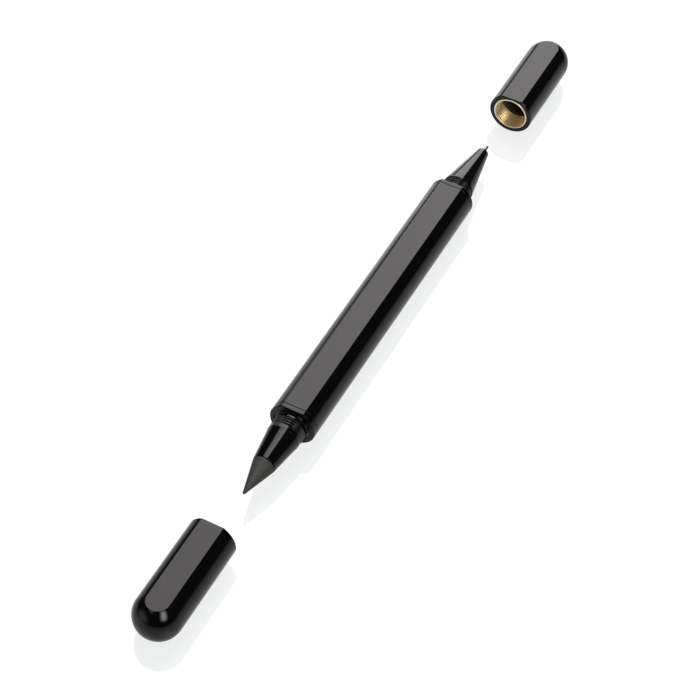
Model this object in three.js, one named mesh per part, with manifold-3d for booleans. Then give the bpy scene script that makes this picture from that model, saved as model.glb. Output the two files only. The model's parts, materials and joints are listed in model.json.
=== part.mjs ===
// A dual-tip pen, laid out in a row with both of its screw caps off. Sizes are in millimetres.
// +X runs along the pen from the graphite point to the ballpoint and +Z is up. The origin lies
// on the table, under the middle of the whole row.
import * as THREE from "three";
import { mergeVertices } from "three/addons/utils/BufferGeometryUtils.js";
import Module from "manifold-3d";

const wasm = await Module();
wasm.setup();

// Clearances
const glueGap = 0.05; // round a piece that is glued or pressed into another
const runGap = 0.08; // round a piece that turns or slides on another
const faceGap = 0.1; // between two faces that close on each other

// The outer section: round, with one flat milled along the top of the barrel and of both caps
const bodyRadius = 6;
const flatDepth = 0.7;
const edgeBreak = 0.2;

// Barrel, between the outer faces of its two end rings
const barrelLength = 86.6;
const barrelWall = 1.6;
const ringWidth = 1.3;
const ringSeam = 0.1;

// Caps
const rimWall = 0.4; // the shell's wall at its open end, where the flat makes it thinnest
const insertWall = 0.62;
const insertLength = 4.8;
const insertChamfer = 0.18;
const linerWall = 0.3;
const linerEnd = 0.6;
const tipRoom = 1.2; // air in front of the longer point when the cap is on
const domeThickness = 4.8; // solid metal at the middle of the rounded end
const graphiteCapOff = 36.9; // from the barrel's end face to the cap's rim, as it lies
const ballpointCapOff = 36.1;

// Threaded bush in each end of the barrel
const stubLength = 3.4;
const stubChamfer = 0.25;
const reliefWidth = 0.45;
const reliefDepth = 0.3;
const bushWall = 1.02; // under the relief groove
const flangeStep = 0.3;
const flangeThickness = 0.6;
const flangeRecess = 0.15;
const spigotLength = 8;

// Shank that screws into a bush, behind each point's cone
const shankLength = 7;
const shankChamfer = 0.4;
const shoulderStep = 0.05;

// Graphite point and its holder
const holderLength = 10;
const holderBand = 1.2;
const bandStep = 0.06;
const holderFrontRadius = 2.9;
const leadLength = 9.7;
const leadInset = 0.06;
const leadEdge = 0.2;
const leadPointRadius = 0.35;
const leadSpigotRadius = 1.6;
const leadSpigotLength = 4.5;

// Ballpoint nose section
const sectionLength = 15.6;
const sectionBand = 0.3;
const sectionFrontRadius = 1.6;
const noseRound = 0.45;
const noseWall = 0.8;
const noseHoleGap = 0.13;

// Refill
const refillLength = 67;
const refillRadius = 1.175;
const refillWall = 0.3;
const needleReach = 2.7; // beyond the nose, ball included
const needleRadius = 0.42;
const tipConeLength = 1.3;
const tipBodyLength = 3.2;
const tipSpigotLength = 2.4;
const inkChannelRadius = 0.2;
const ballRadius = 0.28;
const ballGap = 0.025;
const lipReach = 0.09; // how far the rolled lip passes the middle of the ball
const lipGap = 0.022; // between the rolled lip and the ball
const inkShare = 0.78; // how much of the tube is still full
const plugSpigotLength = 2.5;
const plugHeadLength = 0.8;
const ventRadius = 0.3;

// Sleeve that centres the refill in the barrel, and the plug that stops it
const sleeveTail = 4; // how far the sleeve runs on behind the refill
const stopHeadLength = 2;

// Facets round a full turn, by how wide a piece is
const wideSides = 48;
const middleSides = 24;
const smallSides = 16;

// Steps along the arcs of an outline
const domeSteps = 10;
const ballSteps = 8;
const noseSteps = 4;

const cutterSpare = 1; // how far a cutter runs past what it cuts

// Worked out from the sizes above
const flatHeight = bodyRadius - flatDepth;
const barrelHalf = barrelLength / 2;
const barrelBore = bodyRadius - barrelWall;
const insertRadius = flatHeight - rimWall;
const insertBore = insertRadius - insertWall;
const threadRadius = insertBore - runGap;
const bushBore = threadRadius - reliefDepth - bushWall;
const shankRadius = bushBore - runGap;
const shoulderRadius = threadRadius - shoulderStep;
const shoulderX = stubLength + faceGap;
const holderFrontX = shoulderX + holderLength;
const leadEndX = holderFrontX + leadLength;
const sectionFrontX = shoulderX + sectionLength;
const refillEndX = sectionFrontX + needleReach;
const refillBackX = refillEndX - refillLength;
const refillBore = refillRadius + runGap;
const tubeBore = refillRadius - refillWall;
const sleeveRearX = refillBackX - sleeveTail;
const capDepth = Math.max(leadEndX, refillEndX) + tipRoom;
const capLength = capDepth + linerEnd + domeThickness;
const flangeInnerX = -flangeRecess - flangeThickness;
const bushInnerX = flangeInnerX - spigotLength;
const shankRearX = shoulderX - shankLength;

// The refill's shoulder rests on a seat of the same slope inside the nose
const shoulderSlope = (refillRadius - needleRadius) / tipConeLength;
const noseHoleRadius = needleRadius + noseHoleGap;
const seatFrontX = sectionFrontX - noseWall;
const seatRearX = seatFrontX - (refillBore - noseHoleRadius) / shoulderSlope;
const needleRearX = seatFrontX - faceGap + noseHoleGap / shoulderSlope;
const tipRearX = needleRearX - tipConeLength - tipBodyLength;
const ballX = refillEndX - ballRadius;

// Finishes
const blackAnodised = { color: 0x1b1b1d, roughness: 0.32, metalness: 0.55 };
const blackThread = { color: 0x202022, roughness: 0.3, metalness: 0.6 };
const blackLacquer = { color: 0x161617, roughness: 0.22, metalness: 0.3 };
const brass = { color: 0xc9a45c, roughness: 0.25, metalness: 1 };
const graphite = { color: 0x4b4a46, roughness: 0.62, metalness: 0.25 };
const nickelSilver = { color: 0xb9b8b2, roughness: 0.22, metalness: 1 };
const carbide = { color: 0x8c8f94, roughness: 0.12, metalness: 1 };
const clearPlastic = { color: 0xdfe3e4, roughness: 0.35, metalness: 0 };
const blackPlastic = { color: 0x232324, roughness: 0.55, metalness: 0 };
const greyPlastic = { color: 0x8a8c8e, roughness: 0.6, metalness: 0 };
const ink = { color: 0x0d0f1e, roughness: 0.15, metalness: 0 };

// Closed mesh to solid, and back again
function toSolid(geometry) {
  const shape = new THREE.BufferGeometry();
  shape.setAttribute("position", geometry.getAttribute("position"));
  shape.setIndex(geometry.index);
  const merged = mergeVertices(shape, 1e-4);
  const corners = [];
  for (let i = 0; i < merged.index.count; i += 3) {
    const [a, b, c] = [0, 1, 2].map((k) => merged.index.getX(i + k));
    if (a !== b && b !== c && c !== a) corners.push(a, b, c);
  }
  return new wasm.Manifold(
    new wasm.Mesh({
      numProp: 3,
      vertProperties: merged.attributes.position.array,
      triVerts: new Uint32Array(corners),
    }),
  );
}

function toGeometry(solid) {
  const mesh = solid.getMesh();
  const positions = new THREE.BufferAttribute(mesh.vertProperties, mesh.numProp);
  const geometry = new THREE.BufferGeometry();
  geometry.setAttribute("position", positions);
  geometry.setIndex(new THREE.BufferAttribute(mesh.triVerts, 1));
  geometry.computeVertexNormals();
  return geometry;
}

// Turns an outline of [x, radius] points about the X axis. The facets' middles lie on the true
// radius, and one facet faces straight down, so that the pen lies still.
function turned(outline, sides) {
  const stretch = 1 / Math.cos(Math.PI / sides);
  const points = outline.map(([x, radius]) => new THREE.Vector2(radius * stretch, x));
  const geometry = new THREE.LatheGeometry(points, sides);
  geometry.rotateZ(-Math.PI / 2);
  geometry.rotateX(Math.PI / sides);
  const solid = toSolid(geometry);
  if (solid.volume() > 0) return solid;
  return turned([...outline].reverse(), sides);
}

// A turned ring or tube: the outline closes on itself
function turnedRing(outline, sides) {
  return turned([...outline, outline[0]], sides);
}

// Points of a circular arc about [x, radius], from one angle to another
function arc(centreX, centreRadius, size, from, to, steps) {
  return Array.from({ length: steps + 1 }, (_, i) => {
    const angle = THREE.MathUtils.degToRad(from + ((to - from) * i) / steps);
    return [centreX + size * Math.cos(angle), centreRadius + size * Math.sin(angle)];
  });
}

// Angle of a cone against the X axis, in degrees
function coneAngle(rise, run) {
  return THREE.MathUtils.radToDeg(Math.atan2(rise, run));
}

// Mills the flat along the top of a piece that lies between two places on X
function millFlat(solid, fromX, toX) {
  const length = toX - fromX + 2 * cutterSpare;
  const cutter = new THREE.BoxGeometry(length, 2 * (bodyRadius + cutterSpare), bodyRadius);
  cutter.translate((fromX + toX) / 2, 0, flatHeight + bodyRadius / 2);
  return solid.subtract(toSolid(cutter));
}

function piece(name, solid, finish) {
  const mesh = new THREE.Mesh(toGeometry(solid), new THREE.MeshStandardMaterial(finish));
  mesh.name = name;
  return mesh;
}

// Barrel tube, open at both ends
function barrelTube() {
  const end = barrelHalf - ringWidth - ringSeam;
  const skin = turnedRing(
    [
      [-end, barrelBore + edgeBreak],
      [-end, bodyRadius],
      [end, bodyRadius],
      [end, barrelBore + edgeBreak],
      [end - edgeBreak, barrelBore],
      [-end + edgeBreak, barrelBore],
    ],
    wideSides,
  );
  return millFlat(skin, -end, end);
}

// From here on, each piece is drawn for the ballpoint end: x = 0 is the barrel's end face and
// +X points out of the barrel.

// End ring, with a counterbore for the bush's flange
function endRing() {
  const counterbore = barrelBore + flangeStep + glueGap;
  const floorX = flangeInnerX - glueGap;
  const ring = turnedRing(
    [
      [-ringWidth, barrelBore],
      [-ringWidth, bodyRadius],
      [-edgeBreak, bodyRadius],
      [0, bodyRadius - edgeBreak],
      [0, counterbore],
      [floorX, counterbore],
      [floorX, barrelBore],
    ],
    wideSides,
  );
  return millFlat(ring, -ringWidth, 0);
}

// Bush glued into the barrel: its flange clamps the ring, its stub takes the cap's thread
function threadedBush() {
  const spigotRadius = barrelBore - glueGap;
  const flangeRadius = barrelBore + flangeStep;
  const rootRadius = threadRadius - reliefDepth;
  const reliefX = reliefWidth - flangeRecess;
  return turnedRing(
    [
      [bushInnerX, bushBore],
      [bushInnerX, spigotRadius - shankChamfer],
      [bushInnerX + shankChamfer, spigotRadius],
      [flangeInnerX, spigotRadius],
      [flangeInnerX, flangeRadius],
      [-flangeRecess, flangeRadius],
      [-flangeRecess, rootRadius],
      [reliefX, rootRadius],
      [reliefX + reliefDepth, threadRadius],
      [stubLength - stubChamfer, threadRadius],
      [stubLength, threadRadius - stubChamfer],
      [stubLength, bushBore],
    ],
    wideSides,
  );
}

// The rear of a holder or section: a chamfered shank that ends against the shoulder
function shankOutline() {
  return [
    [shankRearX, shankRadius - shankChamfer],
    [shankRearX + shankChamfer, shankRadius],
    [shoulderX, shankRadius],
    [shoulderX, shoulderRadius],
  ];
}

// Cone that carries the graphite point, with a narrow band at its root
function graphiteHolder() {
  const socketRadius = leadSpigotRadius + glueGap;
  const socketX = holderFrontX - leadSpigotLength - glueGap;
  return turned(
    [
      [shankRearX, 0],
      ...shankOutline(),
      [shoulderX + holderBand, shoulderRadius],
      [shoulderX + holderBand, shoulderRadius - bandStep],
      [holderFrontX, holderFrontRadius],
      [holderFrontX, socketRadius],
      [socketX, socketRadius],
      [socketX, 0],
    ],
    wideSides,
  );
}

// Graphite point: a long cone with a blunt end, on a spigot glued into the holder
function graphiteLead() {
  const rearX = holderFrontX + glueGap;
  const baseRadius = holderFrontRadius - leadInset;
  const centreX = leadEndX - leadPointRadius;
  const slope = coneAngle(baseRadius - leadPointRadius, centreX - rearX);
  return turned(
    [
      [holderFrontX - leadSpigotLength, 0],
      [holderFrontX - leadSpigotLength, leadSpigotRadius],
      [rearX, leadSpigotRadius],
      [rearX, baseRadius - leadEdge],
      [rearX + leadEdge, baseRadius],
      ...arc(centreX, 0, leadPointRadius, 90 - slope, 0, noseSteps).slice(0, -1),
      [leadEndX, 0],
    ],
    middleSides,
  );
}

// Nose section: a long cone, hollow for the refill, with a seat for the refill's shoulder
function ballpointSection() {
  const centreX = sectionFrontX - noseRound;
  const centreRadius = sectionFrontRadius - noseRound;
  const slope = coneAngle(shoulderRadius - sectionFrontRadius, sectionLength - sectionBand);
  const outside = [
    ...shankOutline(),
    [shoulderX + sectionBand, shoulderRadius],
    ...arc(centreX, centreRadius, noseRound, 90 - slope, 0, noseSteps),
  ];
  const inside = [
    [sectionFrontX, noseHoleRadius],
    [seatFrontX, noseHoleRadius],
    [seatRearX, refillBore],
    [shankRearX, refillBore],
  ];
  return turnedRing([...outside, ...inside], wideSides);
}

// Metal tip of the refill: spigot, shoulder cone, needle, and the cup that holds the ball
function refillTip() {
  const spigotRadius = tubeBore - glueGap;
  const spigotX = tipRearX - tipSpigotLength;
  const cupRadius = ballRadius + ballGap;
  const lipX = ballX + lipReach;
  const lipRadius = Math.sqrt(ballRadius ** 2 - lipReach ** 2) + lipGap;
  const cupFloorX = ballX - cupRadius;
  return turnedRing(
    [
      [spigotX, inkChannelRadius],
      [spigotX, spigotRadius],
      [tipRearX, spigotRadius],
      [tipRearX, refillRadius],
      [needleRearX - tipConeLength, refillRadius],
      [needleRearX, needleRadius],
      [ballX - ballRadius, needleRadius],
      [lipX, (needleRadius + lipRadius) / 2],
      [lipX, lipRadius],
      [ballX, cupRadius],
      [cupFloorX, cupRadius],
      [cupFloorX, inkChannelRadius],
    ],
    smallSides,
  );
}

function writingBall() {
  const between = arc(ballX, 0, ballRadius, 180, 0, ballSteps).slice(1, -1);
  return turned([[ballX - ballRadius, 0], ...between, [refillEndX, 0]], smallSides);
}

function refillTube() {
  const frontX = tipRearX - glueGap;
  return turnedRing(
    [
      [refillBackX + plugHeadLength, tubeBore],
      [refillBackX + plugHeadLength, refillRadius],
      [frontX, refillRadius],
      [frontX, tubeBore],
    ],
    middleSides,
  );
}

function refillInk() {
  const frontX = tipRearX - tipSpigotLength - glueGap;
  const rearLimitX = refillBackX + plugHeadLength + plugSpigotLength + glueGap;
  const rearX = frontX - (frontX - rearLimitX) * inkShare;
  const radius = tubeBore - glueGap;
  return turned(
    [
      [rearX, 0],
      [rearX, radius],
      [frontX, radius],
      [frontX, 0],
    ],
    smallSides,
  );
}

// Vented plug in the back of the refill
function refillPlug() {
  const headX = refillBackX + plugHeadLength - glueGap;
  const spigotX = refillBackX + plugHeadLength + plugSpigotLength;
  return turnedRing(
    [
      [refillBackX, ventRadius],
      [refillBackX, refillRadius],
      [headX, refillRadius],
      [headX, tubeBore - glueGap],
      [spigotX, tubeBore - glueGap],
      [spigotX, ventRadius],
    ],
    smallSides,
  );
}

// Sleeve that centres the refill's tube in the barrel
function refillSleeve() {
  const frontX = Math.min(bushInnerX, shankRearX) - faceGap;
  return turnedRing(
    [
      [sleeveRearX, refillBore],
      [sleeveRearX, barrelBore - glueGap],
      [frontX, barrelBore - glueGap],
      [frontX, refillBore],
    ],
    middleSides,
  );
}

// Plug behind the sleeve: its spigot takes the push of writing from the refill
function refillStop() {
  const headX = sleeveRearX - faceGap;
  return turned(
    [
      [headX - stopHeadLength, 0],
      [headX - stopHeadLength, barrelBore - glueGap],
      [headX, barrelBore - glueGap],
      [headX, refillBore - glueGap],
      [refillBackX - faceGap, refillBore - glueGap],
      [refillBackX - faceGap, 0],
    ],
    middleSides,
  );
}

// The caps are drawn with their rim at x = 0 and their rounded end towards +X.

// Shell: a tube that ends in a half ball, bored from the rim and milled along the top
function capShell() {
  const bore = insertBore + linerWall + glueGap;
  const counterbore = insertRadius + glueGap;
  const counterboreX = insertLength + glueGap;
  const floorX = capDepth + linerEnd + glueGap;
  const dome = arc(capLength - bodyRadius, 0, bodyRadius, 90, 0, domeSteps).slice(0, -1);
  const outside = turned(
    [[0, 0], [0, bodyRadius - edgeBreak], [edgeBreak, bodyRadius], ...dome, [capLength, 0]],
    wideSides,
  );
  const hollow = turned(
    [
      [-cutterSpare, 0],
      [-cutterSpare, counterbore],
      [counterboreX, counterbore],
      [counterboreX, bore],
      [floorX, bore],
      [floorX, 0],
    ],
    wideSides,
  );
  return millFlat(outside.subtract(hollow), 0, capLength);
}

// Brass insert that carries the cap's thread
function capInsert() {
  return turnedRing(
    [
      [0, insertBore + insertChamfer],
      [0, insertRadius],
      [insertLength, insertRadius],
      [insertLength, insertBore],
      [insertChamfer, insertBore],
    ],
    wideSides,
  );
}

// Plastic cup behind the insert, which keeps the point off the metal
function capLiner() {
  const rimX = insertLength + 2 * glueGap;
  const outer = insertBore + linerWall;
  return turned(
    [
      [rimX, insertBore],
      [rimX, outer],
      [capDepth + linerEnd, outer],
      [capDepth + linerEnd, 0],
      [capDepth, 0],
      [capDepth, insertBore - linerWall],
      [capDepth - linerWall, insertBore],
      [rimX, insertBore],
    ],
    wideSides,
  );
}

function cap(prefix, distanceOff) {
  const group = new THREE.Group();
  group.add(piece(prefix + "_cap_shell", capShell(), blackAnodised));
  group.add(piece(prefix + "_cap_insert", capInsert(), brass));
  group.add(piece(prefix + "_cap_liner", capLiner(), blackPlastic));
  group.position.x = distanceOff;
  return group;
}

// One end of the barrel, with its ring, bush and cap
function barrelEnd(prefix, distanceOff) {
  const group = new THREE.Group();
  group.add(piece(prefix + "_end_ring", endRing(), blackAnodised));
  group.add(piece(prefix + "_end_bush", threadedBush(), blackThread));
  group.add(cap(prefix, distanceOff));
  return group;
}

const graphiteEnd = barrelEnd("graphite", graphiteCapOff);
graphiteEnd.add(piece("graphite_holder", graphiteHolder(), blackLacquer));
graphiteEnd.add(piece("graphite_lead", graphiteLead(), graphite));
graphiteEnd.rotation.z = Math.PI;
graphiteEnd.position.x = -barrelHalf;

const ballpointEnd = barrelEnd("ballpoint", ballpointCapOff);
ballpointEnd.add(piece("ballpoint_section", ballpointSection(), blackLacquer));
ballpointEnd.add(piece("refill_tip", refillTip(), nickelSilver));
ballpointEnd.add(piece("writing_ball", writingBall(), carbide));
ballpointEnd.add(piece("refill_tube", refillTube(), clearPlastic));
ballpointEnd.add(piece("refill_ink", refillInk(), ink));
ballpointEnd.add(piece("refill_plug", refillPlug(), greyPlastic));
ballpointEnd.add(piece("refill_sleeve", refillSleeve(), greyPlastic));
ballpointEnd.add(piece("refill_stop", refillStop(), blackPlastic));
ballpointEnd.position.x = barrelHalf;

const pen = new THREE.Group();
pen.add(piece("barrel_tube", barrelTube(), blackAnodised));
pen.add(graphiteEnd);
pen.add(ballpointEnd);
pen.position.set((graphiteCapOff - ballpointCapOff) / 2, 0, bodyRadius);

const layout = new THREE.Group();
layout.add(pen);

export default layout;
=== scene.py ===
"""Looks of the dual-tip pen: fine pieces, finishes, table, lamps and camera over its CAD frame."""

import json
import math

import bmesh
import bpy
from mathutils import Matrix, Vector


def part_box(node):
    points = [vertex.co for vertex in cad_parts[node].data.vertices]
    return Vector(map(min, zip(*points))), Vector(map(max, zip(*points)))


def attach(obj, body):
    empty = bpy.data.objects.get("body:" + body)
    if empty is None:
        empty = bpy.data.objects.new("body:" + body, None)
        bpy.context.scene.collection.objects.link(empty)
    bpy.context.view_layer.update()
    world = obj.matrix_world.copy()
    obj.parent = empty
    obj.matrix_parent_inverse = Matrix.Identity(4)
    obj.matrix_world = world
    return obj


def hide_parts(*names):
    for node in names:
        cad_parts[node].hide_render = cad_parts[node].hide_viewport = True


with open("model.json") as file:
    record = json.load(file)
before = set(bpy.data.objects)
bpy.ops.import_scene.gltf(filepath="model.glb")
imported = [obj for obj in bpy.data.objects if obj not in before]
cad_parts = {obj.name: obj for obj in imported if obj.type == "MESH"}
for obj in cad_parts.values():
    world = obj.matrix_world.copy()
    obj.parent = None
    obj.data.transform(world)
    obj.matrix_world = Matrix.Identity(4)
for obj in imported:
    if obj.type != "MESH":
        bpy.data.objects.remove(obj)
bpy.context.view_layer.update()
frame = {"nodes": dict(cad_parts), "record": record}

MM = 0.001

# Sizes in millimetres that the CAD boxes don't give. Places along each end start at its end face,
# and at the rim for each cap
FLAT_HEIGHT = 5.3  # from the pen's axis up to the milled flat
FLAT_EDGE = 0.25  # rounding between the flat and the round of the body
EDGE_BREAK = 0.2  # chamfer round the open ends of the body
BARREL_BORE = 4.4
FLANGE_BORE = 4.75
FLANGE_SEAT = -0.8  # floor of the end ring, behind the flange of the bush
FLANGE_INNER = -0.75
FLANGE_OUTER = -0.15
RELIEF_RADIUS = 3.9  # groove between the flange and the stub
RELIEF_END = 0.3  # where that groove starts to rise
LAND_END = 1.0  # where the stub's plain land meets its thread
STUB_CREST = 4.2
STUB_ROOT = 3.86
BORE_BREAK = 0.12  # chamfer round the end ring's bore
BUSH_BORE = 2.88
BUSH_SPIGOT = 4.35
STUB_CHAMFER = 0.25
MOUTH_CHAMFER = 0.1  # round the stub's bore
SHANK_RADIUS = 2.8
SHANK_CHAMFER = 0.4
SHOULDER = 3.5  # from the barrel's end face to the back of each point's cone
HOLDER_BAND = 1.2  # length of the band at the root of the holder's cone
BAND_STEP = 0.06
HOLDER_FRONT = 2.9  # radius where the cone meets the graphite
SOCKET_RADIUS = 1.65
SOCKET_FLOOR = 8.95
LEAD_SPIGOT = 1.6
LEAD_BACK = 13.55
LEAD_EDGE = 0.2
LEAD_POINT = 0.35  # radius of its blunted tip
SECTION_BAND = 0.3
SECTION_FRONT = 1.6  # radius of the nose
NOSE_ROUND = 0.45
NOSE_HOLE = 0.55
NOSE_WALL = 0.8
REFILL_BORE = 1.255
TUBE_BORE = 0.875
TUBE_FIT = 0.825  # of what is pressed into the tube
SEAT_LENGTH = 1.214
TIP_BODY_BACK = 13.924
TIP_BODY_FRONT = 17.124
NEEDLE_BACK = 18.424
NEEDLE_RADIUS = 0.42
INK_CHANNEL = 0.2
CUP_RADIUS = 0.305
LIP_RADIUS = 0.287
LIP_OUTER = 0.354
PLUG_HEAD = 0.75
VENT_RADIUS = 0.3
STOP_HEAD = 2.0
STOP_SPIGOT = 1.205
SHELL_BORE = 4.63
SHELL_COUNTERBORE = 4.95
COUNTERBORE_END = 4.85
SHELL_FLOOR = 25.05
INSERT_CREST = 4.28
INSERT_ROOT = 4.49
INSERT_WIDEST = 4.47  # radius from which on no thread is cut
MOUTH_RISE = 0.08  # how much wider the bore is at the mouth
MOUTH_RUN = 0.15  # how far in that widening reaches
FACE_CHAMFER = 0.18  # round the outside of its face
FACE_CHAMFER_RUN = 0.3
LINER_WALL = 0.3

# Roundings of corners, in millimetres
ROLLED = 0.01  # on the lip round the ball
KEEN = 0.02
BORED = 0.03
FINE = 0.04
CRISP = 0.05
BROKEN = 0.06  # beside a broken edge
TURNED = 0.08
SOFT = 0.1
EASED = 0.15
FULL = 0.2
DEEP = 0.3  # on the floor of a bore

# The cap thread, right-handed
PITCH = 0.75
THREAD_STEP = 0.03  # between two rings of points along it
CREST_SHARE = 0.12  # of one pitch
FLANK_SHARE = 0.38

# Fineness of the turned pieces
WIDE_SIDES = 192
SMALL_SIDES = 64
ARC_STEPS = 88  # round one half of a milled section
FLAT_STEPS = 5  # round one edge of the flat
RUNOUT_STEPS = 24  # where the flat runs out on a cap's ball
DOME_STEPS = 48  # on the rest of that ball
NOSE_STEPS = 10
POINT_STEPS = 12
BALL_STEPS = 24
HOLD = 0.12  # how far from a rounded corner the long faces start, so that they stay straight
CORNER_TURN = math.radians(15)  # widest turn between two faces of a rounding
CREASE = math.radians(24)  # from this turn on an edge shows as sharp
THREAD_CREASE = math.radians(75)
NEAR = 0.001  # places this close count as one, in millimetres
WELD = 1e-4  # so do points of a mesh, which this joins

# The pen lies on the table, so its axis is as high as its body is thick
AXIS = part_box("barrel_tube")[1].z / MM - FLAT_HEIGHT
BODY_RADIUS = AXIS

# The middle of the barrel, its ends and the caps' rims, with the way that each one points
MIDDLE = (sum(corner.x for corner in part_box("barrel_tube")) / 2 / MM, 1)
ENDS = {
    "graphite": (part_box("graphite_end_ring")[0].x / MM, -1),
    "ballpoint": (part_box("ballpoint_end_ring")[1].x / MM, 1),
}
RIMS = {
    "graphite": (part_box("graphite_cap_shell")[1].x / MM, -1),
    "ballpoint": (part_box("ballpoint_cap_shell")[0].x / MM, 1),
}


# Outlines: points [x, radius] in millimetres along the pen's axis


def rounded(corners, closed=True):
    """Rounds the corners [x, radius, rounding] of an outline, and holds the faces beside each one
    straight."""
    points = []
    last = len(corners) - 1
    for i, (x, radius, size) in enumerate(corners):
        here = Vector((x, radius))
        if size == 0 or (not closed and i in (0, last)):
            points.append(here)
            continue
        back = Vector(corners[i - 1][:2]) - here
        ahead = Vector(corners[(i + 1) % len(corners)][:2]) - here
        half = back.angle(ahead) / 2
        cut = size / math.tan(half)
        inward = (back.normalized() + ahead.normalized()).normalized()
        centre = here + inward * size / math.sin(half)
        start = here + back.normalized() * cut - centre
        turn = (here + ahead.normalized() * cut - centre).angle_signed(start)
        steps = max(2, math.ceil(abs(turn) / CORNER_TURN))
        if back.length > 2 * (cut + HOLD):
            points.append(here + back.normalized() * (cut + HOLD))
        for k in range(steps + 1):
            spin = turn * k / steps
            cos, sin = math.cos(spin), math.sin(spin)
            spun = Vector((start.x * cos - start.y * sin, start.x * sin + start.y * cos))
            points.append(centre + spun)
        if ahead.length > 2 * (cut + HOLD):
            points.append(here + ahead.normalized() * (cut + HOLD))
    return [(p.x, p.y) for p in points]


def arc(x, radius, size, start, end, steps):
    """Points of an arc about [x, radius], between two angles in degrees."""
    angles = [math.radians(start + (end - start) * k / steps) for k in range(steps + 1)]
    return [(x + size * math.cos(a), radius + size * math.sin(a)) for a in angles]


def stepped(start, end, step):
    """Evenly spaced places from start to end, both included."""
    count = max(1, math.ceil(abs(end - start) / step))
    return [start + (end - start) * k / count for k in range(count + 1)]


def cone_angle(rise, run):
    """How steeply a cone rises, in degrees."""
    return math.degrees(math.atan2(rise, run))


# Cross sections: points (y, z) round the axis for one place of an outline


def round_section(sides):
    """A plain round section."""
    turns = [2 * math.pi * k / sides for k in range(sides)]
    return lambda x, radius: [(radius * math.sin(t), radius * math.cos(t)) for t in turns]


def milled_section(open_ends):
    """A round section with the flat along its top. The chamfer at the open ends runs across the
    flat too."""

    def section(x, radius):
        height = FLAT_HEIGHT
        if any(abs(x - end) < EDGE_BREAK + NEAR for end in open_ends):
            height -= min(BODY_RADIUS - radius, EDGE_BREAK)
        edge, middle, turn = 0, 0, 0
        if radius > height:
            edge = FLAT_EDGE
            middle = math.sqrt((radius - edge) ** 2 - (height - edge) ** 2)
            turn = math.atan2(middle, height - edge)
        top = min(radius, height)
        side = [(max(middle - HOLD, middle / 2), top)]
        for k in range(FLAT_STEPS + 1):
            angle = turn * k / FLAT_STEPS
            side.append((middle + edge * math.sin(angle), top - edge + edge * math.cos(angle)))
        for k in range(1, ARC_STEPS + 1):
            angle = turn + (math.pi - turn) * k / ARC_STEPS
            side.append((radius * math.sin(angle), radius * math.cos(angle)))
        return side + [(-y, z) for y, z in reversed(side[:-1])]

    return section


def thread_cut(x, turn, tapped):
    """How deep the thread is cut at one place, from 0 on its crest to 1 in its root. A turning tool
    leaves straight flanks with sharp edges, a tap rounds them off."""
    place = (x / PITCH + turn / (2 * math.pi)) % 1
    reach = abs(place - 0.5) * 2
    root_share = 1 - CREST_SHARE - 2 * FLANK_SHARE
    depth = (1 - CREST_SHARE - reach) / (1 - CREST_SHARE - root_share)
    depth = min(1, max(0, depth))
    return depth**2 * (3 - 2 * depth) if tapped else depth


def threaded_section(sides, first, last, least, most, crest, root):
    """A round section that carries the thread between two places and two radii."""
    turns = [2 * math.pi * k / sides for k in range(sides)]

    def section(x, radius):
        points = []
        for turn in turns:
            size = radius
            if first <= x <= last and least <= radius <= most:
                cut = crest + (root - crest) * thread_cut(x, turn, root > crest)
                size = min(radius, cut) if root < crest else max(radius, cut)
            points.append((size * math.sin(turn), size * math.cos(turn)))
        return points

    return section


def turned(node, outline, section, place, closed=True, crease=CREASE):
    """The fine piece for a CAD node, turned about the pen's axis from an outline and a section."""
    shape = bmesh.new()
    rings = [[shape.verts.new((x, y, z)) for y, z in section(x, radius)] for x, radius in outline]
    pairs = list(zip(rings, rings[1:]))
    if closed:
        pairs.append((rings[-1], rings[0]))
    for ring, following in pairs:
        for k in range(len(ring)):
            n = (k + 1) % len(ring)
            shape.faces.new((ring[k], ring[n], following[n], following[k]))
    start, sense = place
    facing = Matrix.Identity(4) if sense > 0 else Matrix.Rotation(math.pi, 4, "Z")
    shape.transform(Matrix.Scale(MM, 4) @ Matrix.Translation((start, 0, AXIS)) @ facing)
    bmesh.ops.remove_doubles(shape, verts=shape.verts, dist=WELD * MM)
    bmesh.ops.recalc_face_normals(shape, faces=shape.faces)
    for face in shape.faces:
        face.smooth = True
    mesh = bpy.data.meshes.new("fine_" + node)
    shape.to_mesh(mesh)
    shape.free()
    mesh.set_sharp_from_angle(angle=crease)
    piece = bpy.data.objects.new("fine_" + node, mesh)
    bpy.context.scene.collection.objects.link(piece)
    return piece


def span(node, place):
    """Back, front and outer radius of a CAD node, in millimetres from one end's zero."""
    start, sense = place
    low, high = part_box(node)
    back, front = sorted(sense * (value / MM - start) for value in (low.x, high.x))
    return back, front, AXIS - low.z / MM


# Finishes


def colour(code):
    """An sRGB code such as C9A45C as a linear colour."""
    parts = [int(code[i : i + 2], 16) / 255 for i in (0, 2, 4)]
    linear = [p / 12.92 if p <= 0.04045 else ((p + 0.055) / 1.055) ** 2.4 for p in parts]
    return (*linear, 1)


def add(tree, kind, settings=(), links=()):
    """Adds one node, with its options and values, fed by the outputs in links."""
    node = tree.nodes.new("ShaderNode" + kind)
    for key, value in dict(settings).items():
        if isinstance(key, int) or key in node.inputs:
            node.inputs[key].default_value = value
        else:
            setattr(node, key, value)
    for key, source in dict(links).items():
        tree.links.new(source, node.inputs[key])
    return node


def maths(tree, operation, *parts):
    """Joins numbers and outputs of other nodes by one operation."""
    numbers = {i: part for i, part in enumerate(parts) if isinstance(part, (int, float))}
    outputs = {i: part for i, part in enumerate(parts) if i not in numbers}
    return add(tree, "Math", {"operation": operation, **numbers}, outputs).outputs[0]


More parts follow.
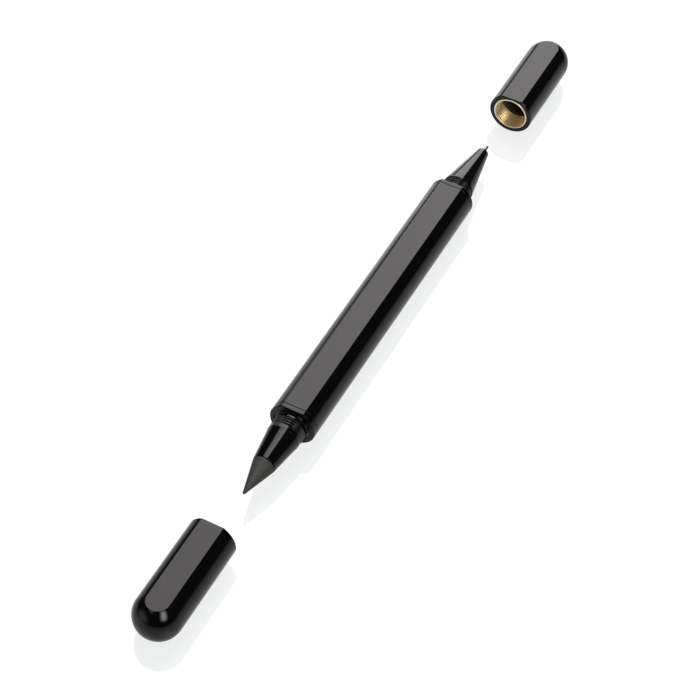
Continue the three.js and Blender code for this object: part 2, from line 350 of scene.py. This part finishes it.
def between(tree, source, low, high, from_low=0.3, from_high=0.7):
    """Turns a pattern into values between low and high."""
    values = {"From Min": from_low, "From Max": from_high, "To Min": low, "To Max": high}
    return add(tree, "MapRange", values, {"Value": source}).outputs["Result"]


def grain(tree, per_mm, detail=2.0):
    """Noise whose size along, across and up the pen is given in grains per millimetre."""
    place = add(tree, "TexCoord").outputs["Object"]
    scale = tuple(count / MM for count in per_mm)
    sized = add(tree, "Mapping", {"Scale": scale}, {"Vector": place}).outputs["Vector"]
    noise = add(tree, "TexNoise", {"Scale": 1.0, "Detail": detail}, {"Vector": sized})
    return noise.outputs["Fac"]


def relief(tree, height, strength, depth):
    """Bumps of that depth in millimetres, made from a pattern."""
    values = {"Strength": strength, "Distance": depth * MM}
    return add(tree, "Bump", values, {"Height": height}).outputs["Normal"]


def mixed(tree, share, first, second):
    """Two colours mixed by a share of the second. The first is a code or the output of a node."""
    values, links = {"Color2": colour(second)}, {"Fac": share}
    if isinstance(first, str):
        values["Color1"] = colour(first)
    else:
        links["Color1"] = first
    return add(tree, "MixRGB", values, links).outputs["Color"]


def facing_ends(tree, least, most):
    """Rises from 0 to 1 where a face turns from the pen's side towards one of its ends."""
    normal = add(tree, "TexCoord").outputs["Normal"]
    along = add(tree, "SeparateXYZ", (), {"Vector": normal}).outputs["X"]
    return between(tree, maths(tree, "ABSOLUTE", along), 0.0, 1.0, least, most)


def close(tree, settings, links=()):
    """Ends a finish with its main shader."""
    shader = add(tree, "BsdfPrincipled", settings, links)
    add(tree, "OutputMaterial", (), {"Surface": shader.outputs["BSDF"]})


def black_anodised_aluminium(tree):
    """Fine-turned aluminium under a black anodised skin. The skin's dye keeps the metal from
    showing, so it mirrors softly, like deep black glass, and its turning lines only just blur the
    mirror."""
    # Turning lines are about 0.03 mm apart, and drawn 0.12 mm apart so that they can show
    lines = grain(tree, (8, 0.05, 0.05))
    # Handling leaves patches of slightly duller skin, some 8 mm across
    patches = grain(tree, (0.12, 0.12, 0.12), 3.0)
    # The round and the flat are polished before the skin is made, the end faces are left as turned
    ends = between(tree, facing_ends(tree, 0.998, 0.9995), 0.0, 0.24, 0.0, 1.0)
    close(
        tree,
        {"Base Color": colour("060607"), "IOR": 1.4, "Specular Tint": colour("FFF8FC")},
        {
            "Roughness": maths(tree, "ADD", between(tree, patches, 0.1, 0.14), ends),
            "Normal": relief(tree, lines, 0.03, 0.01),
        },
    )


def black_thread_aluminium(tree):
    """The same anodised skin over a cut thread, whose tool leaves it a little duller."""
    cut = grain(tree, (1.5, 6, 6))
    close(
        tree,
        {"Base Color": colour("0A0A0B"), "Roughness": 0.16, "IOR": 1.5},
        {"Normal": relief(tree, cut, 0.06, 0.01)},
    )


def black_lacquered_aluminium(tree):
    """Turned cones under a smooth black lacquer, which flows out into a clean, sharper mirror."""
    # Lacquer dries with soft swells about 1 mm across
    swells = grain(tree, (0.9, 0.9, 0.9))
    close(
        tree,
        {"Base Color": colour("060607"), "Roughness": 0.1, "IOR": 1.4},
        {"Normal": relief(tree, swells, 0.03, 0.02)},
    )


def brass(tree):
    """Bare brass with a cut thread: a bright yellow metal, streaked round the axis by the tool. The
    faced-off rim is smoother than the thread, and is painted paler as a painted highlight."""
    # Tool marks are about 0.05 mm apart, and drawn 0.15 mm apart so that they can show
    lines = grain(tree, (7, 0.6, 0.6))
    tarnish = grain(tree, (0.5, 0.5, 0.5), 4.0)
    tint = mixed(tree, between(tree, tarnish, 0, 1), "F3DAA6", "E9C88C")
    # Faces turned towards the ends: the faced-off rim, smoother, and painted paler there as a
    # painted highlight
    rim = facing_ends(tree, 0.8, 0.95)
    thread = between(tree, tarnish, 0.38, 0.46)
    close(
        tree,
        {"Metallic": 1.0},
        {
            # The pale F9EBD3 on the rim is a painted highlight
            "Base Color": mixed(tree, rim, tint, "F9EBD3"),
            "Roughness": maths(tree, "MULTIPLY_ADD", rim, -0.2, thread),
            "Normal": relief(tree, lines, 0.08, 0.01),
        },
    )


def graphite(tree):
    """Pressed graphite: dull olive grey with a faint metallic sheen, and streaks along the cone
    where writing has polished it."""
    streaks = grain(tree, (0.35, 2.2, 2.2), 5.0)
    specks = grain(tree, (5, 5, 5), 3.0)
    close(
        tree,
        {"Metallic": 0.35},
        {
            "Base Color": mixed(tree, between(tree, streaks, 0, 1), "3E3D39", "484641"),
            "Roughness": between(tree, streaks, 0.62, 0.48),
            "Normal": relief(tree, specks, 0.25, 0.03),
        },
    )


def nickel_silver(tree):
    """Turned nickel silver of the refill's tip: a slightly warm metal with a bright cut, painted a
    mid grey darker than the pale metal as painted shade.
    """
    lines = grain(tree, (12, 0.8, 0.8))
    close(
        tree,
        # The mid grey 74726D is painted shade, darker than pale nickel silver
        {"Base Color": colour("74726D"), "Metallic": 1.0, "Roughness": 0.18},
        {"Normal": relief(tree, lines, 0.1, 0.005)},
    )


def carbide(tree):
    """Polished tungsten carbide of the writing ball: a darker metal with a sharp mirror."""
    grit = grain(tree, (30, 30, 30))
    close(
        tree,
        {"Base Color": colour("8C8F94"), "Metallic": 1.0},
        {"Roughness": between(tree, grit, 0.08, 0.14)},
    )


def black_plastic(tree):
    """Moulded plastic, matt, with a fine mould grain that breaks up its sheen. Its colour, a warm
    grey lighter than black plastic, is painted light for the dim inside of the caps, where so
    little light reaches the liner that it still looks nearly black."""
    mould = grain(tree, (4, 4, 4), 3.0)
    close(
        tree,
        # The warm grey 62594D is painted light, lighter than the black plastic
        {"Base Color": colour("62594D")},
        {"Roughness": between(tree, mould, 0.5, 0.62), "Normal": relief(tree, mould, 0.3, 0.03)},
    )


def grey_plastic(tree):
    """Moulded grey plastic of the refill's plug and sleeve, matt and slightly waxy."""
    mould = grain(tree, (3, 3, 3), 3.0)
    close(
        tree,
        {"Base Color": colour("8A8C8E"), "Roughness": 0.5},
        {"Normal": relief(tree, mould, 0.25, 0.03)},
    )


def clear_plastic(tree):
    """Extruded clear tube of the refill, with faint lengthwise draw lines."""
    lines = grain(tree, (0.05, 4, 4))
    close(
        tree,
        {"Base Color": colour("F2F5F5"), "Transmission Weight": 0.9, "IOR": 1.49},
        {"Roughness": between(tree, lines, 0.08, 0.2)},
    )


def ink(tree):
    """Writing paste in the tube: wet, nearly black, with a trace of blue."""
    swirl = grain(tree, (0.8, 0.8, 0.8), 3.0)
    tint = mixed(tree, between(tree, swirl, 0, 1), "0A0B14", "10142A")
    close(tree, {"Roughness": 0.08}, {"Base Color": tint})


def made_of(describe):
    """The material that one of these functions describes, under that function's name."""
    material = bpy.data.materials.new(describe.__name__)
    material.use_nodes = True
    material.node_tree.nodes.clear()
    describe(material.node_tree)
    return material


FINISHES = {
    describe.__name__: made_of(describe)
    for describe in (
        black_anodised_aluminium,
        black_thread_aluminium,
        black_lacquered_aluminium,
        brass,
        graphite,
        nickel_silver,
        carbide,
        black_plastic,
        grey_plastic,
        clear_plastic,
        ink,
    )
}
SLOTS = {entry["node"]: entry["material_slot"] for entry in frame["record"]["subparts"]}
BODIES = {
    node: body for body, nodes in frame["record"]["behaviour"]["bodies"].items() for node in nodes
}


def finished(piece, node):
    """Gives a fine piece the finish and the movement of the CAD node that it stands for."""
    piece.data.materials.append(FINISHES[SLOTS[node]])
    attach(piece, BODIES[node])
    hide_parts(node)


for node, solid in frame["nodes"].items():
    solid.data.materials.clear()
    solid.data.materials.append(FINISHES[SLOTS[node]])


# Body: barrel tube, end rings and threaded bushes


def barrel_tube(node, place):
    back, front, radius = span(node, place)
    outline = rounded(
        [
            (back, BARREL_BORE + EDGE_BREAK, CRISP),
            (back, radius, SOFT),
            (front, radius, SOFT),
            (front, BARREL_BORE + EDGE_BREAK, CRISP),
            (front - EDGE_BREAK, BARREL_BORE, CRISP),
            (back + EDGE_BREAK, BARREL_BORE, CRISP),
        ]
    )
    return turned(node, outline, milled_section((back, front)), place)


def end_ring(node, place):
    back, front, radius = span(node, place)
    outline = rounded(
        [
            (back, BARREL_BORE, CRISP),
            (back, radius, SOFT),
            (front - EDGE_BREAK, radius, BROKEN),
            (front, radius - EDGE_BREAK, BROKEN),
            (front, FLANGE_BORE + BORE_BREAK, BORED),
            (front - BORE_BREAK, FLANGE_BORE, BORED),
            (FLANGE_SEAT, FLANGE_BORE, 0),
            (FLANGE_SEAT, BARREL_BORE, 0),
        ]
    )
    return turned(node, outline, milled_section((back, front)), place)


def threaded_bush(node, place):
    """The stub's thread ends in a plain land and a groove before the flange, and in a chamfer in
    front."""
    back, front, flange = span(node, place)
    rear = rounded(
        [
            (RELIEF_END, BUSH_BORE, 0),
            (back, BUSH_BORE, TURNED),
            (back, BUSH_SPIGOT - SHANK_CHAMFER, 0),
            (back + SHANK_CHAMFER, BUSH_SPIGOT, 0),
            (FLANGE_INNER, BUSH_SPIGOT, 0),
            (FLANGE_INNER, flange, FINE),
            (FLANGE_OUTER, flange, TURNED),
            (FLANGE_OUTER, RELIEF_RADIUS, TURNED),
            (RELIEF_END, RELIEF_RADIUS, 0),
        ],
        closed=False,
    )
    stub = []
    for x in stepped(RELIEF_END, front, THREAD_STEP)[1:]:
        rise = RELIEF_RADIUS + x - RELIEF_END
        fall = STUB_CREST - STUB_CHAMFER + front - x
        stub.append((x, min(STUB_CREST, rise, fall)))
    face = (STUB_CREST - STUB_CHAMFER - MOUTH_CHAMFER, BUSH_BORE + MOUTH_CHAMFER, BUSH_BORE)
    mouth = [(front, edge) for edge in face]
    section = threaded_section(
        WIDE_SIDES, LAND_END, front, RELIEF_RADIUS, STUB_CREST, STUB_CREST, STUB_ROOT
    )
    return turned(node, rear + stub + mouth, section, place, crease=THREAD_CREASE)


# Caps: shell, brass insert and plastic liner


def cap_shell(node, place):
    """A tube that ends in a half ball. Steps are close where the flat runs out on the ball."""
    _, front, radius = span(node, place)
    inside = rounded(
        [
            (SHELL_FLOOR, 0, 0),
            (SHELL_FLOOR, SHELL_BORE, DEEP),
            (COUNTERBORE_END, SHELL_BORE, 0),
            (COUNTERBORE_END, SHELL_COUNTERBORE, 0),
            (0, SHELL_COUNTERBORE, FINE),
            (0, radius - EDGE_BREAK, BROKEN),
            (EDGE_BREAK, radius, BROKEN),
            (front - radius, radius, 0),
        ],
        closed=False,
    )
    middle = front - radius
    runout = math.sqrt(radius**2 - FLAT_HEIGHT**2)
    ball = []
    for k in range(1, RUNOUT_STEPS + 1):
        x = runout * math.sin(math.radians(90 * k / RUNOUT_STEPS))
        ball.append((middle + x, math.sqrt(radius**2 - x**2)))
    ball += arc(middle, 0, radius, math.degrees(math.acos(runout / radius)), 0, DOME_STEPS)[1:]
    ball[-1] = (front, 0)
    return turned(node, inside + ball, milled_section((0,)), place, closed=False)


def cap_insert(node, place):
    back, front, radius = span(node, place)
    thread = []
    for x in stepped(back, front, THREAD_STEP):
        thread.append((x, INSERT_CREST + MOUTH_RISE * max(0, 1 - x / MOUTH_RUN)))
    outer = rounded(
        [
            (front, INSERT_CREST, 0),
            (front, radius, CRISP),
            (back + FACE_CHAMFER_RUN, radius, CRISP),
            (back, radius - FACE_CHAMFER, KEEN),
            thread[0] + (0,),
        ],
        closed=False,
    )
    section = threaded_section(
        WIDE_SIDES, back, front, INSERT_CREST, INSERT_WIDEST, INSERT_CREST, INSERT_ROOT
    )
    outline = thread + outer[1:-1]
    return turned(node, outline, section, place, crease=THREAD_CREASE)


def cap_liner(node, place):
    back, front, radius = span(node, place)
    floor = front - 2 * LINER_WALL
    outline = rounded(
        [
            (floor, 0, 0),
            (floor, radius - 2 * LINER_WALL, DEEP),
            (floor - LINER_WALL, radius - LINER_WALL, DEEP),
            (back, radius - LINER_WALL, TURNED),
            (back, radius, TURNED),
            (front, radius, FULL),
            (front, 0, 0),
        ],
        closed=False,
    )
    return turned(node, outline, round_section(WIDE_SIDES), place, closed=False)


# Graphite point and its holder


def graphite_holder(node, place):
    back, front, radius = span(node, place)
    band_end = SHOULDER + HOLDER_BAND
    outline = rounded(
        [
            (back, 0, 0),
            (back, SHANK_RADIUS - SHANK_CHAMFER, TURNED),
            (back + SHANK_CHAMFER, SHANK_RADIUS, TURNED),
            (SHOULDER, SHANK_RADIUS, 0),
            (SHOULDER, radius, SOFT),
            (band_end, radius, FINE),
            (band_end, radius - BAND_STEP, 0),
            (front, HOLDER_FRONT, TURNED),
            (front, SOCKET_RADIUS, 0),
            (SOCKET_FLOOR, SOCKET_RADIUS, 0),
            (SOCKET_FLOOR, 0, 0),
        ],
        closed=False,
    )
    return turned(node, outline, round_section(WIDE_SIDES), place, closed=False)


def graphite_lead(node, place):
    back, front, radius = span(node, place)
    middle = front - LEAD_POINT
    slope = cone_angle(radius - LEAD_POINT, middle - LEAD_BACK)
    tip = arc(middle, 0, LEAD_POINT, 90 - slope, 0, POINT_STEPS)
    outline = rounded(
        [
            (back, 0, 0),
            (back, LEAD_SPIGOT, SOFT),
            (LEAD_BACK, LEAD_SPIGOT, 0),
            (LEAD_BACK, radius - LEAD_EDGE, CRISP),
            (LEAD_BACK + LEAD_EDGE, radius, SOFT),
            tip[0] + (0,),
        ],
        closed=False,
    )
    outline += tip[1:-1] + [(front, 0)]
    return turned(node, outline, round_section(WIDE_SIDES), place, closed=False)


# Ballpoint nose section, with its seat for the refill's shoulder


def ballpoint_section(node, place):
    back, front, radius = span(node, place)
    slope = cone_angle(radius - SECTION_FRONT, front - SHOULDER - SECTION_BAND)
    tip = (front - NOSE_ROUND, SECTION_FRONT - NOSE_ROUND)
    nose = arc(*tip, NOSE_ROUND, 90 - slope, 0, NOSE_STEPS)
    outside = rounded(
        [
            (back, REFILL_BORE, 0),
            (back, SHANK_RADIUS - SHANK_CHAMFER, TURNED),
            (back + SHANK_CHAMFER, SHANK_RADIUS, TURNED),
            (SHOULDER, SHANK_RADIUS, 0),
            (SHOULDER, radius, BROKEN),
            (SHOULDER + SECTION_BAND, radius, FULL),
            nose[0] + (0,),
        ],
        closed=False,
    )
    inside = rounded(
        [
            nose[-1] + (0,),
            (front, NOSE_HOLE, CRISP),
            (front - NOSE_WALL, NOSE_HOLE, FINE),
            (front - NOSE_WALL - SEAT_LENGTH, REFILL_BORE, SOFT),
            (back, REFILL_BORE, 0),
        ],
        closed=False,
    )
    outline = outside + nose[1:-1] + inside[:-1]
    return turned(node, outline, round_section(WIDE_SIDES), place)


# Refill: tip, ball, tube, ink and plug


def refill_tip(node, place):
    """Shoulder cone, bare needle and the cup whose rolled lip holds the ball."""
    back, front, radius = span(node, place)
    ball_back, ball_front, _ = span("writing_ball", place)
    ball_middle = (ball_back + ball_front) / 2
    outline = rounded(
        [
            (back, INK_CHANNEL, KEEN),
            (back, TUBE_FIT, BROKEN),
            (TIP_BODY_BACK, TUBE_FIT, 0),
            (TIP_BODY_BACK, radius, BROKEN),
            (TIP_BODY_FRONT, radius, EASED),
            (NEEDLE_BACK, NEEDLE_RADIUS, EASED),
            (ball_back, NEEDLE_RADIUS, FULL),
            (front, LIP_OUTER, KEEN),
            (front, LIP_RADIUS, ROLLED),
            (ball_middle, CUP_RADIUS, CRISP),
            (ball_middle - CUP_RADIUS, CUP_RADIUS, CRISP),
            (ball_middle - CUP_RADIUS, INK_CHANNEL, KEEN),
        ]
    )
    return turned(node, outline, round_section(SMALL_SIDES), place)


def writing_ball(node, place):
    back, front, radius = span(node, place)
    round_face = arc(back + radius, 0, radius, 180, 0, BALL_STEPS)[1:-1]
    outline = [(back, 0)] + round_face + [(front, 0)]
    return turned(node, outline, round_section(SMALL_SIDES), place, closed=False)


def tube_with(bore):
    """Maker of a plain tube with that bore."""

    def tube(node, place):
        back, front, radius = span(node, place)
        corners = [(back, bore), (back, radius), (front, radius), (front, bore)]
        outline = rounded([corner + (CRISP,) for corner in corners])
        return turned(node, outline, round_section(SMALL_SIDES), place)

    return tube


def refill_ink(node, place):
    back, front, radius = span(node, place)
    outline = rounded(
        [(back, 0, 0), (back, radius, DEEP), (front, radius, SOFT), (front, 0, 0)], closed=False
    )
    return turned(node, outline, round_section(SMALL_SIDES), place, closed=False)


def refill_plug(node, place):
    back, front, radius = span(node, place)
    outline = rounded(
        [
            (back, VENT_RADIUS, CRISP),
            (back, radius, EASED),
            (back + PLUG_HEAD, radius, CRISP),
            (back + PLUG_HEAD, TUBE_FIT, 0),
            (front, TUBE_FIT, SOFT),
            (front, VENT_RADIUS, CRISP),
        ]
    )
    return turned(node, outline, round_section(SMALL_SIDES), place)


def refill_stop(node, place):
    back, front, radius = span(node, place)
    outline = rounded(
        [
            (back, 0, 0),
            (back, radius, FULL),
            (back + STOP_HEAD, radius, SOFT),
            (back + STOP_HEAD, STOP_SPIGOT, SOFT),
            (front, STOP_SPIGOT, SOFT),
            (front, 0, 0),
        ],
        closed=False,
    )
    return turned(node, outline, round_section(SMALL_SIDES), place, closed=False)


# All pieces: CAD node, maker and place

PIECES = [("barrel_tube", barrel_tube, MIDDLE)]
for side in ("graphite", "ballpoint"):
    PIECES += [
        (side + "_end_ring", end_ring, ENDS[side]),
        (side + "_end_bush", threaded_bush, ENDS[side]),
        (side + "_cap_shell", cap_shell, RIMS[side]),
        (side + "_cap_insert", cap_insert, RIMS[side]),
        (side + "_cap_liner", cap_liner, RIMS[side]),
    ]
PIECES += [
    ("graphite_holder", graphite_holder, ENDS["graphite"]),
    ("graphite_lead", graphite_lead, ENDS["graphite"]),
    ("ballpoint_section", ballpoint_section, ENDS["ballpoint"]),
    ("refill_tip", refill_tip, ENDS["ballpoint"]),
    ("writing_ball", writing_ball, ENDS["ballpoint"]),
    ("refill_tube", tube_with(TUBE_BORE), ENDS["ballpoint"]),
    ("refill_ink", refill_ink, ENDS["ballpoint"]),
    ("refill_plug", refill_plug, ENDS["ballpoint"]),
    ("refill_sleeve", tube_with(REFILL_BORE), ENDS["ballpoint"]),
    ("refill_stop", refill_stop, ENDS["ballpoint"]),
]
for node, make, place in PIECES:
    finished(make(node, place), node)


# Table

TABLE_REACH = 10  # metres from its middle to each side
MIRROR_SHARE = 0.046  # how much of what the camera sees in the table is mirror
SKIN_IOR = 1.5


def white_table(tree):
    """White gloss table, washed out to white as in the photo. It keeps the pen's soft shadow and
    its crisp mirror image, which stands out because the tall lamp's reflection is missing there."""
    ray = add(tree, "LightPath").outputs
    sheet = add(tree, "BsdfPrincipled", {"Base Color": colour("A0A0A0"), "Roughness": 0.2})
    # What is seen of the table mirrors by an even share. Straight down and from low down that would
    # show the lamps as hard-edged patches, so it fades there
    dull = add(tree, "BsdfDiffuse", {"Color": colour("686868")}).outputs[0]
    gloss = add(tree, "BsdfGlossy", {"Roughness": 0.04}).outputs[0]
    slant = add(tree, "LayerWeight").outputs["Facing"]
    steep = between(tree, slant, 0.0, MIRROR_SHARE, 0.1, 0.15)
    low = between(tree, slant, 1.0, 0.0, 0.4, 0.5)
    mirror = maths(tree, "MULTIPLY", steep, low)
    even = add(tree, "MixShader", (), {0: mirror, 1: dull, 2: gloss}).outputs[0]
    surface = add(tree, "MixShader", (), {0: ray["Is Camera Ray"], 1: sheet.outputs[0], 2: even})
    # The light that washes it out
    skin = add(tree, "Fresnel", {"IOR": SKIN_IOR}).outputs[0]
    plain = between(tree, skin, 0.805, 0.87, 0.05, 0.8)
    seen = maths(tree, "MULTIPLY", plain, ray["Is Camera Ray"])
    # The sheet's body sends out less light at a grazing angle, which the pen's sides mirror
    body = between(tree, skin, 0.4, 0.0, 0.04, 1.0)
    mirrored = maths(tree, "MULTIPLY", body, ray["Is Glossy Ray"])
    share = maths(tree, "ADD", seen, mirrored)
    washed = add(tree, "Emission", {"Color": colour("FDFEFF")}, {"Strength": share})
    whole = add(tree, "AddShader", (), {0: surface.outputs[0], 1: washed.outputs[0]})
    add(tree, "OutputMaterial", (), {"Surface": whole.outputs[0]})


def table_top():
    """A square sheet at the height where the pen lies."""
    sheet = bmesh.new()
    for x, y in ((-1, -1), (1, -1), (1, 1), (-1, 1)):
        sheet.verts.new((x * TABLE_REACH, y * TABLE_REACH, 0))
    sheet.faces.new(sheet.verts)
    mesh = bpy.data.meshes.new("table_top")
    sheet.to_mesh(mesh)
    sheet.free()
    mesh.materials.append(made_of(white_table))
    table = bpy.data.objects.new("table_top", mesh)
    bpy.context.scene.collection.objects.link(table)


# Lamps

DIM_BELOW = 0.3  # share of a cloth's height that is dimmed towards the bottom
DIM_BEYOND = 0.4  # share of its width from which on it dims towards the far side
ROOM_GLOW = 0.035
PAST_TABLE = 0.93  # what the camera sees where the table ends


def softbox(name, centre, facing, up, width, height, radiance, edge, dim_low=1.0, dim_far=1.0):
    """A cloth-fronted lamp, which fades over that share of its width at its edges. Its cloth is
    dimmer towards the bottom and towards the far side, by how far those are from its bulb."""
    lamp = bpy.data.lights.new(name, "AREA")
    lamp.shape = "RECTANGLE"
    lamp.size = width
    lamp.size_y = height
    lamp.energy = 4 * radiance * width * height
    lamp.use_nodes = True
    tree = lamp.node_tree
    tree.nodes.clear()
    spot = add(tree, "SeparateXYZ", (), {"Vector": add(tree, "NewGeometry").outputs["Parametric"]})
    across, upward = spot.outputs["X"], spot.outputs["Y"]
    low = between(tree, upward, dim_low, 1.0, 0.0, DIM_BELOW)
    far = between(tree, across, 1.0, dim_far, DIM_BEYOND, 1.0)
    strength = maths(tree, "MULTIPLY", low, far)
    for place, share in ((across, edge), (upward, edge * width / height)):
        off = maths(tree, "ABSOLUTE", maths(tree, "SUBTRACT", place, 0.5))
        fade = {"interpolation_type": "SMOOTHSTEP", "From Min": 0.5, "From Max": 0.5 - share}
        kept = add(tree, "MapRange", fade, {"Value": off}).outputs["Result"]
        strength = maths(tree, "MULTIPLY", strength, kept)
    glow = add(tree, "Emission", (), {"Strength": strength})
    add(tree, "OutputLight", (), {"Surface": glow.outputs[0]})
    back = -facing.normalized()
    side = up.cross(back).normalized()
    turn = Matrix((side, back.cross(side), back)).transposed().to_4x4()
    holder = bpy.data.objects.new(name, lamp)
    holder.matrix_world = Matrix.Translation(centre) @ turn
    bpy.context.scene.collection.objects.link(holder)


def room():
    """A dark studio, white only where the camera looks past the table."""
    world = bpy.data.worlds.new("studio")
    bpy.context.scene.world = world
    world.use_nodes = True
    tree = world.node_tree
    tree.nodes.clear()
    ray = add(tree, "LightPath").outputs["Is Camera Ray"]
    strength = between(tree, ray, ROOM_GLOW, PAST_TABLE, 0.0, 1.0)
    sky = add(tree, "Background", {"Color": (1, 1, 1, 1)}, {"Strength": strength})
    add(tree, "OutputWorld", (), {"Surface": sky.outputs[0]})


table_top()
room()
softbox(
    "tall_softbox",
    centre=Vector((0.542, 0.166, 0.992)),
    facing=Vector((-0.704, -0.557, -0.444)),
    up=Vector((-0.36, -0.26, 0.897)),
    width=0.853,
    height=2.0,
    radiance=3.5,
    edge=0.06,
    dim_low=0.75,
    dim_far=0.6,
)
softbox(
    "small_softbox",
    centre=Vector((-0.426, -0.609, 0.669)),
    facing=Vector((0.426, 0.609, -0.669)),
    up=Vector((0.2, -0.1, 1)),
    width=0.66,
    height=0.95,
    radiance=6.0,
    edge=0.5,
)
softbox(
    "side_card",
    centre=Vector((0.556, 0.708, 0.308)),
    facing=Vector((-0.261, -0.804, -0.308)),
    up=Vector((-0.25, 0, 1)),
    width=0.4,
    height=0.6,
    radiance=0.7,
    edge=0.23,
)
softbox(
    "white_wall",
    centre=Vector((-1.28, 1.1, 0.35)),
    facing=Vector((1.28, -1.1, 0)),
    up=Vector((0, 0, 1)),
    width=2.4,
    height=1.8,
    radiance=0.95,
    edge=0.5,
)
softbox(
    "ceiling_card",
    centre=Vector((-0.75, 0.42, 1.25)),
    facing=Vector((0.75, -0.42, -1.25)),
    up=Vector((0, 0, 1)),
    width=0.8,
    height=0.55,
    radiance=1.5,
    edge=0.4,
)


# Camera, fitted to the photo's outlines

TILT = math.radians(49.0761)  # how steeply it looks down
SWING = math.radians(25.2995)  # how far it looks across the pen's axis
ROLL = math.radians(2.9611)
DISTANCE = 0.51799
AIM = Vector((-0.01563, -0.001186, 0.006))
SENSOR_WIDTH = 36  # millimetres, as is the focal length
FOCAL_LENGTH = 109.977
NEAREST = 0.01
FARTHEST = 20

look = Vector(
    (math.cos(TILT) * math.cos(SWING), math.cos(TILT) * math.sin(SWING), -math.sin(TILT))
)
right = Vector((math.sin(SWING), -math.cos(SWING), 0))
above = right.cross(look)
lens = bpy.data.cameras.new("photo_camera")
lens.sensor_width = SENSOR_WIDTH
lens.lens = FOCAL_LENGTH
lens.clip_start = NEAREST
lens.clip_end = FARTHEST
camera = bpy.data.objects.new("photo_camera", lens)
turn = Matrix(
    (
        math.cos(ROLL) * right + math.sin(ROLL) * above,
        math.cos(ROLL) * above - math.sin(ROLL) * right,
        -look,
    )
).transposed()
camera.matrix_world = Matrix.Translation(AIM - DISTANCE * look) @ turn.to_4x4()
bpy.context.scene.collection.objects.link(camera)
bpy.context.scene.camera = camera
bpy.context.scene.view_settings.view_transform = "Standard"
